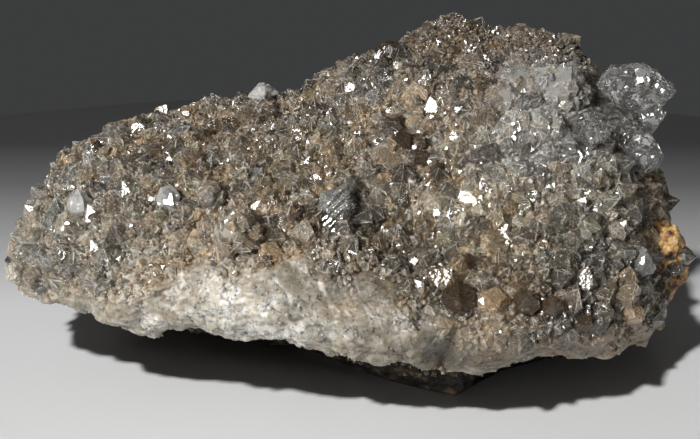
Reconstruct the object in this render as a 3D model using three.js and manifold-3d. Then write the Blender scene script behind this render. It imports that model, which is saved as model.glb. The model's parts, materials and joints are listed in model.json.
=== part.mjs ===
// Herkimer diamond druse: a hand specimen of smoky quartz crystals grown as one crust on dark
// dolostone, with larger clear crystals standing on the crust and an iron-stained nub at its
// right end. Millimetres, +Z up, the front facing -Y. The origin is the bottom centre of the box.
import * as THREE from "three";
import { ConvexGeometry } from "three/addons/geometries/ConvexGeometry.js";
import { ImprovedNoise } from "three/addons/math/ImprovedNoise.js";
import { mergeVertices } from "three/addons/utils/BufferGeometryUtils.js";
import Module from "manifold-3d";

const wasm = await Module();
wasm.setup();

// ---- Driving dimensions ----------------------------------------------------------------------

const GAP = 0.35; // clearance between neighbouring pieces
const CRUST_THICKNESS = 8.5; // the crust's broken edge, from crystal tips to the matrix
const END_THICKNESS = 5; // the crust thins towards its two ends
const COLUMNS = 40; // of the crust's skin, along X
const ROWS = 32; // of the crust's skin, across it
const BROKEN_EDGE = 0.15; // the share of the rows that lies on the broken front edge
const LUMP_HEIGHT = 1.6; // relief of the skin under its crystals
const LUMP_SPAN = 8.5;
const POINT_HEIGHT = [0.4, 2.1]; // of the small crystal points that cover the skin
const HOLLOW_DEPTH = 0.7; // of the pits between them
const LIP_JAG = 1.1; // how ragged the bottom of the broken edge is
const DRUSE_CRYSTALS = 15; // larger crystals fused to the crust
const DRUSE_RADIUS = [1.4, 2.4];
const CORE_COLUMNS = 14; // of the matrix's mesh, along X
const MATRIX_RELIEF = 1.4;
const MATRIX_SPAN = 7;
const BEDS = { front: 3, back: 4 }; // the matrix breaks in ledges along its beds
const BED_STEP = 1.7;

// The crust's skin is spanned by rails that run from its left tip to its right tip. A rail has one
// [y, z] for each station along X.
const STATIONS = [-48.5, -39, -29, -18, -8, -1, 7, 15, 26, 37, 44.5, 48.5];
const LEFT_TIP = [-51.8, 1.5, 18];
const RIGHT_TIP = [50, 6, 18.5];
const RAILS = {
  lipBottom: [
    [-6, 13.4], [-12, 12.9], [-16, 11.7], [-18.5, 12.6], [-20, 12], [-21, 10.4], [-22.5, 9.6],
    [-23.5, 9.2], [-21.5, 10.6], [-17, 8.4], [-10, 7.4], [-3, 7.5],
  ],
  lipTop: [
    [-8.5, 18.5], [-15, 18.6], [-20.5, 18.2], [-23.5, 19.4], [-25.5, 19], [-26.5, 18], [-27.2, 16],
    [-27, 15.5], [-26, 17.5], [-21, 16], [-12.5, 15.5], [-4, 15],
  ],
  lowerSlope: [
    [-4, 21.8], [-8.5, 24.5], [-13, 25.5], [-16, 27], [-18, 26.8], [-19, 26], [-19, 25.5],
    [-19, 26], [-18.5, 27.5], [-14, 27], [-7, 25], [-1, 22],
  ],
  middleSlope: [
    [2, 24.2], [0, 29.2], [-2, 31], [-4, 32], [-5, 32], [-5, 32], [-5, 33],
    [-5, 34], [-5, 36], [-2, 35], [2, 31], [4, 26],
  ],
  upperSlope: [
    [7, 25.8], [9, 32.4], [10, 34.5], [11, 36], [11, 37], [11, 39.5], [11, 42],
    [12, 44], [12, 44.5], [10, 41.5], [9, 34.5], [8, 27.5],
  ],
  crest: [
    [10, 26.6], [17, 33.8], [20, 36.2], [22, 37.8], [22, 39.2], [23, 44.2], [24.5, 46.4],
    [26, 50], [25, 48.2], [21, 45], [15, 36.5], [10.5, 27.5],
  ],
  backShoulder: [
    [13, 23.4], [22, 28.6], [27, 31], [30, 33], [31, 34], [32, 37.5], [33.5, 40],
    [34.5, 43], [33, 42], [28, 37.5], [19, 30], [12.5, 23.5],
  ],
  backEdge: [
    [13.5, 20], [23, 22], [29, 22.5], [32, 24], [34, 25], [35, 26], [36.5, 27],
    [37, 28], [35.5, 27.5], [30.5, 25], [20.5, 21], [13, 18.5],
  ],
};

// The axis inside the specimen, from which the crust's thickness is measured, as [y, z] at each station.
const SPINE = [
  [1, 17], [2, 16], [3, 15], [4, 15], [4, 15], [4, 15], [5, 15],
  [5, 15], [5, 15], [4, 15], [3, 15], [3, 16],
];

const UNDERCUT = 4.5; // how far back from the lip the matrix's front starts
// The matrix's foot, as [y, z] at each station. What reaches below z = 0 is cut off flat, as the
// spot that the specimen rests on; both ends hang clear of it.
const FOOT = {
  front: [
    [3, 12], [9, 8], [12, 3], [11, -1], [8, -1], [2, -1], [-6, -1],
    [-11.2, -1], [0, -1], [3, 2], [7, 6], [8, 10],
  ],
  back: [
    [8, 13], [17, 10], [25, 3], [28, -1], [29, -1], [30, -1], [31, -1],
    [31, -1], [30, -1], [25, 2], [16, 6], [11, 10],
  ],
};

// Swells and hollows of the skin: { at: middle, reach: how far it spreads, rise: its height }.
const SWELLS = [
  { at: [-14.6, -25.1, 20.9], reach: 8, rise: 1.6 },
  { at: [5.3, -26.9, 18.8], reach: 7, rise: 1.6 },
  { at: [20, -26.5, 17.2], reach: 6, rise: 2 },
  { at: [34, -21.5, 19.4], reach: 8, rise: 1.5 },
  { at: [-36, -13, 22], reach: 7, rise: 1 },
  { at: [16, 22, 49.5], reach: 6, rise: 1 },
  { at: [31, 19, 47.5], reach: 5, rise: 1.2 },
  { at: [24, 20, 48], reach: 3.5, rise: -2.6 },
  { at: [2, -12.8, 28.8], reach: 5, rise: -3 },
  { at: [6, -20, 25], reach: 5, rise: -2.8 },
  { at: [8.9, -1.2, 35.3], reach: 5, rise: -2.2 },
  { at: [2.4, 14.2, 41.9], reach: 5, rise: -2 },
  { at: [29, 6, 42], reach: 6, rise: 1.4 },
  { at: [-28, 3, 34], reach: 6, rise: 1.2 },
  { at: [-24, -16, 25], reach: 5, rise: -1.5 },
];
// The lip's bottom runs in scallops: { x: middle, reach: half its width, rise: its step up or down }.
const SCALLOPS = [
  { x: -27.5, reach: 3, rise: -0.9 },
  { x: -22, reach: 2.5, rise: 2.2 },
  { x: -15, reach: 3.5, rise: -1 },
  { x: -8.8, reach: 2.2, rise: 2.2 },
  { x: 4, reach: 2.5, rise: 0.6 },
  { x: 25, reach: 2.5, rise: 1.4 },
  { x: 34, reach: 4, rise: -0.8 },
];
// The crevice in the lip, between its left and right lobes.
const CREVICE = { at: [11.6, -29, 9.5], width: 6.8, height: 10.5, depth: 16, lean: 0.3 };

// ---- Solids ----------------------------------------------------------------------------------

const noise = new ImprovedNoise();
const UP = new THREE.Vector3(0, 0, 1);

// A number from 0 to 1 that is always the same for the same seed.
function chance(seed) {
  const wave = Math.sin(seed * 127.1 + 311.7) * 43758.5453;
  return wave - Math.floor(wave);
}

function relief(point, span) {
  const fine = span / 2.3;
  return (
    noise.noise(point.x / span + 7.3, point.y / span, point.z / span) +
    0.45 * noise.noise(point.x / fine, point.y / fine + 3.1, point.z / fine)
  );
}

function solidFrom(geometry) {
  const bare = new THREE.BufferGeometry();
  bare.setAttribute("position", geometry.getAttribute("position"));
  if (geometry.index) bare.setIndex(geometry.index);
  const merged = mergeVertices(bare, 1e-4);
  const vertProperties = new Float32Array(merged.attributes.position.array);
  const triVerts = new Uint32Array(merged.index.array);
  const kept = [];
  for (let i = 0; i < triVerts.length; i += 3) {
    const [a, b, c] = triVerts.subarray(i, i + 3);
    if (a !== b && b !== c && c !== a) kept.push(a, b, c);
  }
  const mesh = new wasm.Mesh({ numProp: 3, vertProperties, triVerts: new Uint32Array(kept) });
  return new wasm.Manifold(mesh);
}

function geometryFrom(solid) {
  const { numProp, numVert, vertProperties, triVerts } = solid.getMesh();
  const position = new Float32Array(numVert * 3);
  for (let i = 0; i < numVert; i++) {
    position.set(vertProperties.subarray(i * numProp, i * numProp + 3), i * 3);
  }
  const geometry = new THREE.BufferGeometry();
  geometry.setAttribute("position", new THREE.BufferAttribute(position, 3));
  geometry.setIndex(largestShell(triVerts, numVert));
  return geometry;
}

// The triangles of the largest connected shell, without crumbs that a cut broke off or pockets
// sealed by crystals.
function largestShell(triVerts, vertexCount) {
  const parent = Array.from({ length: vertexCount }, (_, i) => i);
  const root = (i) => {
    while (parent[i] !== i) i = parent[i];
    return i;
  };
  for (let i = 0; i < triVerts.length; i += 3) {
    const [a, b, c] = [root(triVerts[i]), root(triVerts[i + 1]), root(triVerts[i + 2])];
    const lowest = Math.min(a, b, c);
    parent[a] = parent[b] = parent[c] = lowest;
  }
  const shells = new Map();
  for (let i = 0; i < triVerts.length; i += 3) {
    const shell = root(triVerts[i]);
    if (!shells.has(shell)) shells.set(shell, []);
    shells.get(shell).push(triVerts[i], triVerts[i + 1], triVerts[i + 2]);
  }
  const larger = (largest, shell) => (shell.length > largest.length ? shell : largest);
  return [...shells.values()].reduce(larger);
}

// A solid through closed rings of points, closed at its two ends by a fan. With points, the quads
// are split so that every second vertex is the tip of a pyramid.
function loft(rings, points = false) {
  const size = rings[0].length;
  const vertices = rings.flat();
  const middle = (ring) => ring.reduce((sum, p) => sum.add(p), new THREE.Vector3()).divideScalar(size);
  const first = vertices.push(middle(rings[0])) - 1;
  const last = vertices.push(middle(rings[rings.length - 1])) - 1;
  const index = [];
  for (let i = 0; i < rings.length - 1; i++)
    for (let j = 0; j < size; j++) {
      const a = i * size + j;
      const b = i * size + ((j + 1) % size);
      const turned = points && j < size - 1 && (i + j) % 2 === 0;
      if (turned) index.push(a, a + size, b + size, a, b + size, b);
      else index.push(a, a + size, b, b, a + size, b + size);
    }
  const start = (rings.length - 1) * size;
  for (let j = 0; j < size; j++) {
    const next = (j + 1) % size;
    index.push(first, j, next);
    index.push(last, start + next, start + j);
  }
  const geometry = new THREE.BufferGeometry().setFromPoints(vertices);
  geometry.setIndex(index);
  return solidFrom(geometry);
}

// ---- The specimen's form ---------------------------------------------------------------------

function railCurve(rail) {
  const points = rail.map(([y, z], i) => new THREE.Vector3(STATIONS[i], y, z));
  points.unshift(new THREE.Vector3(...LEFT_TIP));
  points.push(new THREE.Vector3(...RIGHT_TIP));
  return new THREE.CatmullRomCurve3(points, false, "centripetal");
}

const rails = Object.values(RAILS).map(railCurve);
const spinePoints = SPINE.map(([y, z], i) => new THREE.Vector3(STATIONS[i] * 0.93, y, z));
const spine = new THREE.CatmullRomCurve3(spinePoints);

// u runs from the left tip to the right tip, and v from the lip's bottom over the crest to the
// back edge.
function skin(u, v) {
  const points = rails.map((rail) => rail.getPoint(u));
  return new THREE.CatmullRomCurve3(points, false, "centripetal").getPoint(v);
}

// The direction from the spine out through a point of the skin.
const outward = (u, point) => point.clone().sub(spine.getPoint(u)).normalize();

function thickness(u) {
  const fromEnd = Math.min(u, 1 - u) * 4;
  return THREE.MathUtils.lerp(END_THICKNESS, CRUST_THICKNESS, Math.min(1, fromEnd));
}

function swell(point) {
  let rise = 0;
  for (const { at, reach, rise: height } of SWELLS) {
    const away = point.distanceTo(new THREE.Vector3(...at)) / reach;
    rise += height * Math.exp(-away * away);
  }
  return rise;
}

const skinHeight = (point) => LUMP_HEIGHT * relief(point, LUMP_SPAN) + swell(point);

// The height of a skin vertex over the skin: crystal points and the pits between them in turn,
// and rough on the broken edge.
function pointHeight(i, j) {
  const seed = i * 61 + j;
  if (j === 0 || j === ROWS) return 0;
  if (j < BROKEN_EDGE * ROWS) return 0.9 * (chance(seed) - 0.5);
  const nearTip = Math.min(1, Math.min(i, COLUMNS - i) / 5);
  const tip = THREE.MathUtils.lerp(...POINT_HEIGHT, chance(seed) ** 1.5);
  return nearTip * ((i + j) % 2 ? tip : -HOLLOW_DEPTH * chance(seed));
}

function lipStep(point) {
  let step = LIP_JAG * relief(point, 4);
  for (const { x, reach, rise } of SCALLOPS) step += rise * Math.exp(-(((point.x - x) / reach) ** 2));
  return step;
}

// The crust without its hollow. A plain one has fewer rows and none of the crystal points.
function crustForm(isPlain = false) {
  const rowStep = isPlain ? 4 : 1;
  const rings = [];
  for (let i = 0; i <= COLUMNS; i++) {
    const atEnd = i === 0 || i === COLUMNS;
    const ring = [];
    for (let j = 0; j <= ROWS; j += rowStep) {
      const stray = atEnd ? 0 : 0.6;
      const column = i + stray * (chance(i * 97 + j * 13) - 0.5);
      const row = j + (j > 0 && j < ROWS ? stray : 0) * (chance(i * 31 + j * 71) - 0.5);
      const closerAtEnds = (1 - Math.cos((Math.PI * column) / COLUMNS)) / 2;
      const u = THREE.MathUtils.lerp(column / COLUMNS, closerAtEnds, 0.35);
      const point = skin(u, row / ROWS);
      if (!atEnd) {
        const height = skinHeight(point) + (isPlain ? 0 : pointHeight(i, j));
        point.addScaledVector(outward(u, point), height);
        if (j === 0) point.z += lipStep(point);
      }
      ring.push(point);
    }
    rings.push(ring);
  }
  return loft(rings, !isPlain);
}

// The crust's inner face as a row of points across it, moved further in by inset.
function innerArc(u, inset) {
  const steps = 8;
  const arc = [];
  for (let j = 0; j <= steps; j++) {
    const base = skin(u, j / steps);
    const toSpine = base.distanceTo(spine.getPoint(u));
    const depth = Math.min(thickness(u), toSpine * 0.75) + inset;
    arc.push(base.clone().addScaledVector(outward(u, base), -depth));
  }
  return arc;
}

const CORE_FROM = 0.1;
const CORE_TO = 0.91;
const coreColumn = (i) => THREE.MathUtils.lerp(CORE_FROM, CORE_TO, i / CORE_COLUMNS);

// What the matrix takes out of the crust: everything under its inner face.
function coreHollow() {
  const drop = 25;
  const rings = [];
  for (let i = 0; i <= CORE_COLUMNS; i++) {
    const arc = innerArc(coreColumn(i), 0);
    const down = new THREE.Vector3(0, 0, -drop);
    rings.push([...arc, arc[arc.length - 1].clone().add(down), arc[0].clone().add(down)]);
  }
  return loft(rings);
}

// The plug of matrix that fills the crust's hollow.
function matrixPlug() {
  const inwards = 0.012; // of the length, which leaves the gap at the two ends of the hollow
  const rings = [];
  for (let i = 0; i <= CORE_COLUMNS; i++) {
    const u = THREE.MathUtils.lerp(CORE_FROM + inwards, CORE_TO - inwards, i / CORE_COLUMNS);
    const arc = innerArc(u, GAP);
    const down = new THREE.Vector3(0, 0, -3);
    rings.push([...arc, arc[arc.length - 1].clone().add(down), arc[0].clone().add(down)]);
  }
  return loft(rings);
}

function footCurve(rail) {
  const points = rail.map(([y, z], i) => new THREE.Vector3(STATIONS[i], y, z));
  return new THREE.CatmullRomCurve3(points);
}

// The rest of the matrix, from under the crust down to the bench. Its sides break in ledges.
function matrixBlock() {
  const front = footCurve(FOOT.front);
  const back = footCurve(FOOT.back);
  const [lip, backEdge] = [rails[0], rails[rails.length - 1]];
  const rings = [];
  for (let i = 0; i <= CORE_COLUMNS; i++) {
    const share = i / CORE_COLUMNS;
    const u = THREE.MathUtils.lerp(CORE_FROM * 0.7, 1 - (1 - CORE_TO) * 0.7, share);
    const top = { front: lip.getPoint(u), back: backEdge.getPoint(u) };
    top.front.y += UNDERCUT;
    top.back.y -= 1;
    const corners = [
      top.back.clone().setZ(top.back.z + 5),
      top.back,
      back.getPoint(share),
      front.getPoint(share),
      top.front,
      top.front.clone().setZ(top.front.z + 5),
    ];
    rings.push(brokenRing(corners, i));
  }
  return loft(rings);
}

// A ring through corners, whose front and back sides step in and out along the beds.
function brokenRing(corners, column) {
  const beds = { 1: BEDS.back, 3: BEDS.front };
  const ring = [];
  corners.forEach((corner, k) => {
    const next = corners[(k + 1) % corners.length];
    const side = k === 1 ? 1 : -1;
    if (!beds[k]) {
      ring.push(corner.clone());
      return;
    }
    for (let bed = 0; bed < beds[k]; bed++) {
      const chip = 0.9 * (chance(column * 17 + bed * 5 + k) - 0.5);
      const ledge = BED_STEP * (chance(bed * 7 + k) - 0.5) + chip;
      for (const share of [bed + 0.08, bed + 0.92]) {
        const point = corner.clone().lerp(next, share / beds[k]);
        point.y += side * (ledge + MATRIX_RELIEF * relief(point, MATRIX_SPAN));
        ring.push(point);
      }
    }
  });
  return ring;
}

// ---- Crystals --------------------------------------------------------------------------------

// A quartz crystal as the space inside its faces: six prism faces at about radius from the axis,
// and above and below them six rhombohedral faces each. tip is how blunt its upper end is, foot
// its lower end, and uneven how far a face's distance strays from the regular shape.
function quartz({ radius, length, tip = 0.8, foot = tip, uneven = 0.12, seed = 1, grow = 0 }) {
  const faces = [];
  for (let k = 0; k < 6; k++) {
    const angle = (k * Math.PI) / 3;
    const side = new THREE.Vector3(Math.cos(angle), Math.sin(angle), 0);
    faces.push({ normal: side, far: radius * (1 + uneven * (chance(seed + k) - 0.5)) + grow });
    for (const end of [1, -1]) {
      const normal = new THREE.Vector3(side.x, side.y, end > 0 ? tip : -foot).normalize();
      const apex = (length / 2) * (1 + uneven * (chance(seed + k * 3 + end * 11) - 0.5));
      faces.push({ normal, far: apex * Math.abs(normal.z) + grow });
    }
  }
  return convexFrom(faces);
}

// The convex solid inside a set of planes, from the corners where three of them meet.
function convexFrom(faces) {
  const corners = [];
  for (let a = 0; a < faces.length; a++)
    for (let b = a + 1; b < faces.length; b++)
      for (let c = b + 1; c < faces.length; c++) {
        const meet = meetingPoint(faces[a], faces[b], faces[c]);
        if (!meet || faces.some((f) => f.normal.dot(meet) > f.far + 1e-6)) continue;
        if (corners.every((corner) => corner.distanceTo(meet) > 0.02)) corners.push(meet);
      }
  return solidFrom(new ConvexGeometry(corners));
}

function meetingPoint(a, b, c) {
  const across = b.normal.clone().cross(c.normal);
  const share = a.normal.dot(across);
  if (Math.abs(share) < 1e-6) return null;
  return across
    .multiplyScalar(a.far)
    .addScaledVector(c.normal.clone().cross(a.normal), b.far)
    .addScaledVector(a.normal.clone().cross(b.normal), c.far)
    .divideScalar(share);
}

// Turns a solid's axis from +Z to a direction, after a roll about it, and moves its middle to a point.
function placed(solid, at, direction, roll = 0) {
  const turn = new THREE.Quaternion().setFromUnitVectors(UP, direction.clone().normalize());
  turn.multiply(new THREE.Quaternion().setFromAxisAngle(UP, roll));
  const matrix = new THREE.Matrix4().compose(at, turn, new THREE.Vector3(1, 1, 1));
  return solid.transform(matrix.elements);
}

// A rough lump: a sphere stretched to size, with the rock's relief.
function lump({ at, size, grow = 0, seed = 0 }) {
  const ball = new THREE.IcosahedronGeometry(1, 2);
  const position = ball.getAttribute("position");
  for (let i = 0; i < position.count; i++) {
    const way = new THREE.Vector3().fromBufferAttribute(position, i);
    const rough = 1 + 0.4 * relief(way.clone().addScalar(seed), 0.6);
    const point = new THREE.Vector3(...size).multiply(way).multiplyScalar(rough);
    point.addScaledVector(way, grow);
    position.setXYZ(i, point.x, point.y, point.z);
  }
  return solidFrom(ball).translate(at);
}

// ---- Pieces that stand on the crust ----------------------------------------------------------

// Crystals that are pieces of their own. at is a crystal's middle and axis the way that its tip
// points; several crystals grown together are one piece.
const STANDING = {
  clear_crystal_spray: [
    {
      at: [43.5, 5, 43.5],
      axis: [1, -0.15, 0.1],
      radius: 3.1,
      length: 12.4,
      tip: 0.85,
      foot: 1,
      uneven: 0.35,
      seed: 3,
    },
    { at: [45.5, 3.2, 39.8], axis: [-0.12, -0.25, -1], radius: 2, length: 8.6, tip: 0.45, seed: 5 },
    {
      at: [40.9, 2.6, 37.5],
      axis: [-0.1, -0.75, -0.65],
      radius: 2.3,
      length: 7.4,
      uneven: 0.3,
      seed: 8,
    },
    {
      at: [43.7, 1, 34.6],
      axis: [-0.3, -0.45, -0.85],
      radius: 2.7,
      length: 9.4,
      uneven: 0.3,
      seed: 13,
    },
  ],
  round_clear_crystal: [
    {
      at: [35.5, -1.4, 38.4],
      axis: [-0.1, -0.8, 0.6],
      radius: 2.6,
      length: 7.2,
      tip: 1.1,
      seed: 21,
    },
  ],
  upper_ledge_crystal: [
    {
      at: [31.4, 7.2, 42.4],
      axis: [0.9, -0.3, 0.1],
      radius: 3.4,
      length: 10.4,
      tip: 1.6,
      uneven: 0.3,
      seed: 34,
    },
    {
      at: [26.4, 8.8, 43.4],
      axis: [-0.5, -0.6, 0.6],
      radius: 2.8,
      length: 7.6,
      tip: 1.2,
      uneven: 0.3,
      seed: 35,
    },
    {
      at: [23.9, 6.4, 41.3],
      axis: [-0.7, -0.5, 0.3],
      radius: 2.2,
      length: 6.8,
      tip: 1.1,
      seed: 36,
    },
  ],
  lower_ledge_crystal: [
    {
      at: [28.5, 0.6, 37],
      axis: [0.8, -0.5, 0.3],
      radius: 2.9,
      length: 8,
      tip: 1.3,
      uneven: 0.3,
      seed: 55,
    },
    {
      at: [25, 1, 37.6],
      axis: [-0.6, -0.6, 0.5],
      radius: 2.6,
      length: 7.8,
      tip: 1.1,
      uneven: 0.3,
      seed: 56,
    },
    { at: [27, -1.4, 35.2], axis: [0, -0.8, 0.6], radius: 2.2, length: 6, tip: 1, seed: 57 },
  ],
  smoky_slab_crystal: [
    { at: [6.4, 21.8, 45], axis: [0.75, 0, 0.6], radius: 2.2, length: 8.4, seed: 89 },
  ],
  striated_crystal: [
    { at: [-2, -11.6, 29.6], axis: [0.45, 0.2, 0.85], radius: 2.3, length: 8, seed: 144 },
  ],
  domed_crystal: [
    {
      at: [-15.4, -18.4, 28.2],
      axis: [0, -0.8, 0.6],
      radius: 2.8,
      length: 6.2,
      tip: 1.2,
      seed: 233,
    },
  ],
  left_round_crystal: [
    { at: [-20.1, -8.8, 30.6], axis: [-0.1, -0.7, 0.7], radius: 1.9, length: 4.8, seed: 377 },
  ],
  left_pale_crystal: [
    { at: [-40, -4.6, 27.4], axis: [-0.1, 0.3, 0.95], radius: 1.6, length: 5.6, seed: 610 },
  ],
  left_bright_crystal: [
    { at: [-26.4, -7.8, 29.8], axis: [-0.2, -0.8, 0.5], radius: 1.7, length: 4.6, seed: 987 },
  ],
  crest_crystal: [{ at: [-14.4, 21, 39], axis: [1, 0, 0.1], radius: 1.7, length: 5.4, seed: 41 }],
  dark_hexagonal_crystal: [
    {
      at: [14.5, -24.4, 20.6],
      axis: [0, -0.95, 0.3],
      radius: 2.3,
      length: 5.6,
      tip: 1.2,
      seed: 44,
    },
  ],
  right_pale_crystal: [
    { at: [40.6, -15.8, 22.8], axis: [0.1, -0.5, 0.85], radius: 2, length: 6.2, seed: 46 },
  ],
  left_tip_crystals: [
    { at: [-51.3, 0.4, 17.6], axis: [-1, -0.3, -0.1], radius: 1.4, length: 4.4, seed: 47 },
    { at: [-50.7, -0.8, 16.4], axis: [-0.6, -0.8, -0.3], radius: 1.2, length: 3.8, seed: 48 },
  ],
};
const NUB = { at: [45.9, -5.6, 19.4], size: [4.2, 5.2, 6.2], seed: 4 };
const NUB_CRYSTALS = {
  nub_crystal_large: [
    { at: [48.7, -8, 21], axis: [1, -0.35, 0.1], radius: 1.4, length: 4.6, seed: 61 },
  ],
  nub_crystal_small: [
    { at: [47.4, -9.8, 19.6], axis: [0.5, -0.9, 0.1], radius: 0.9, length: 3.6, seed: 62 },
  ],
};

function grownCrystals(crystals, grow = 0) {
  const parts = crystals.map(({ at, axis, ...shape }) => {
    const crystal = quartz({ ...shape, grow });
    return placed(crystal, new THREE.Vector3(...at), new THREE.Vector3(...axis), shape.seed);
  });
  return wasm.Manifold.union(parts);
}

// ---- The druse -------------------------------------------------------------------------------

// Steps of an even, never repeating spread over the skin.
const SPREAD_U = 0.7548776662;
const SPREAD_V = 0.5698402910;

// True where a fused crystal would stand clear of the separate pieces.
function isClear(point, radius) {
  const pieces = [...Object.values(STANDING).flat(), { at: NUB.at, radius: 5 }];
  const away = (at) => point.distanceTo(new THREE.Vector3(...at));
  return pieces.every(({ at, radius: room }) => away(at) > room * 1.15 + radius);
}

// Crystals fused to the crust, which lean every way.
function druse(grow = 0) {
  const crystals = [];
  for (let n = 0; crystals.length < DRUSE_CRYSTALS; n++) {
    const u = 0.1 + 0.82 * ((0.5 + n * SPREAD_U) % 1);
    const v = BROKEN_EDGE + (0.9 - BROKEN_EDGE) * ((0.5 + n * SPREAD_V) % 1);
    const base = skin(u, v);
    const out = outward(u, base);
    const radius = THREE.MathUtils.lerp(...DRUSE_RADIUS, chance(n + 40) ** 2);
    const at = base.addScaledVector(out, skinHeight(base) + 0.1 * radius);
    if (!isClear(at, radius)) continue;
    const lean = new THREE.Vector3(
      chance(n) - 0.5,
      chance(n + 500) - 0.5,
      chance(n + 900) - 0.3,
    );
    const crystal = quartz({ radius, length: radius * 3, uneven: 0, tip: 0.85, grow });
    crystals.push(placed(crystal, at, out.clone().addScaledVector(lean, 1.2), chance(n + 77) * 3));
  }
  return crystals;
}

// ---- Assembly --------------------------------------------------------------------------------

const look = (color, roughness) => new THREE.MeshStandardMaterial({ color, roughness, metalness: 0 });
const MATERIALS = {
  matrix: look(0x3a352f, 0.95),
  crust: look(0x9a8f80, 0.35),
  iron: look(0x8a5a2b, 0.85),
  clear: look(0xd8dcdc, 0.08),
  smoky: look(0x6b5a48, 0.1),
};
const SMOKY = ["smoky_slab_crystal", "dark_hexagonal_crystal"];

const specimen = new THREE.Group();

function addPiece(name, solid, material) {
  const mesh = new THREE.Mesh(geometryFrom(solid), material);
  mesh.name = name;
  specimen.add(mesh);
}

const bench = solidFrom(new THREE.BoxGeometry(200, 200, 40)).translate([0, 0, -20]);
const { width, height, depth, lean } = CREVICE;
const crevice = placed(
  solidFrom(new THREE.ConeGeometry(width, height * 2, 5).scale(1, 1, depth / width)),
  new THREE.Vector3(...CREVICE.at),
  new THREE.Vector3(lean, 0.4, 1),
);
const sockets = wasm.Manifold.union([
  ...Object.values(STANDING).map((crystals) => grownCrystals(crystals, GAP)),
  lump({ ...NUB, grow: GAP }),
]);
const nubSockets = wasm.Manifold.union(
  Object.values(NUB_CRYSTALS).map((crystals) => grownCrystals(crystals, GAP)),
);

const form = wasm.Manifold.union([crustForm(), ...druse()]);
const crust = form.subtract(coreHollow()).subtract(crevice).subtract(sockets).subtract(nubSockets);
const plainForm = crustForm(true);
const loweredForm = plainForm.translate([0, 0, -1.5 * GAP]);
const formAndGap = wasm.Manifold.union([plainForm, loweredForm, ...druse(GAP)]);
const crustAndGap = crust.add(crust.translate([0, 0, -GAP / 2]));
const rock = matrixBlock().subtract(formAndGap).add(matrixPlug());
const matrix = rock.subtract(crustAndGap).subtract(bench).subtract(sockets);

addPiece("quartz_crust", crust, MATERIALS.crust);
addPiece("matrix_rock", matrix, MATERIALS.matrix);
addPiece("iron_stained_nub", lump(NUB).subtract(nubSockets), MATERIALS.iron);
for (const [name, crystals] of Object.entries({ ...STANDING, ...NUB_CRYSTALS }))
  addPiece(name, grownCrystals(crystals), SMOKY.includes(name) ? MATERIALS.smoky : MATERIALS.clear);

const bounds = new THREE.Box3().setFromObject(specimen);
const middle = bounds.getCenter(new THREE.Vector3());
specimen.position.set(-middle.x, -middle.y, -bounds.min.z);

export default specimen;
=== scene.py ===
"""Herkimer diamond druse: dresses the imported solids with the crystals, grains and rock of the real specimen."""
import itertools
import json
import math

import bmesh
import bpy
import numpy as np
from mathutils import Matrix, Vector, noise
from mathutils.bvhtree import BVHTree
from mathutils.kdtree import KDTree
from numpy.random import default_rng

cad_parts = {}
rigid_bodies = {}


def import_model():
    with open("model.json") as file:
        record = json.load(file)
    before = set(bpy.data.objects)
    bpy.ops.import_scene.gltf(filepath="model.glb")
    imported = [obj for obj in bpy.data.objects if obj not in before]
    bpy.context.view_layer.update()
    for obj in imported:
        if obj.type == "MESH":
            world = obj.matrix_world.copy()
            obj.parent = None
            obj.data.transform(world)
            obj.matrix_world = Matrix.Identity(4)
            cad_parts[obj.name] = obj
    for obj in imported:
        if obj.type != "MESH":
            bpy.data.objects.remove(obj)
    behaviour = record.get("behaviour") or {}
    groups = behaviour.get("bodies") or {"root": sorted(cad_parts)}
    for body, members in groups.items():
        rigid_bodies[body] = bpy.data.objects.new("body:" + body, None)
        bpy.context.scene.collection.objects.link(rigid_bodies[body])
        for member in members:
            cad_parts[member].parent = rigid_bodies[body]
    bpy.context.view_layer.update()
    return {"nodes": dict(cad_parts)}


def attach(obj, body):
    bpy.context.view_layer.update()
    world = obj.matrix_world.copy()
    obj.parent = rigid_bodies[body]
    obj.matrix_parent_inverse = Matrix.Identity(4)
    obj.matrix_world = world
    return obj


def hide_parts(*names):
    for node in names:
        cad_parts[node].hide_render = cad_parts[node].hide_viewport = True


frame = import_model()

MM = 0.001
TINY = 1e-12  # keeps a division by a length from failing
nodes = frame["nodes"]
scene = bpy.context.scene
rng = default_rng(20)

# ---- Places on the specimen, in millimetres ----

SHIFT = np.array([1.2443, -4.1592, 0.0])  # to the model's frame, from the one that places are written in

# The lip's upper edge along X: below it the crust is broken through and milky.
LIP_X = np.array([-52, -48.5, -39, -29, -18, -8, -1, 7, 15, 26, 37, 44.5, 50])
LIP_TOP = np.array([14.0, 14.5, 17.0, 21.5, 24.5, 25.0, 23.0, 21.0, 18.0, 14.5, 12.5, 12.0, 12.0])

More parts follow.
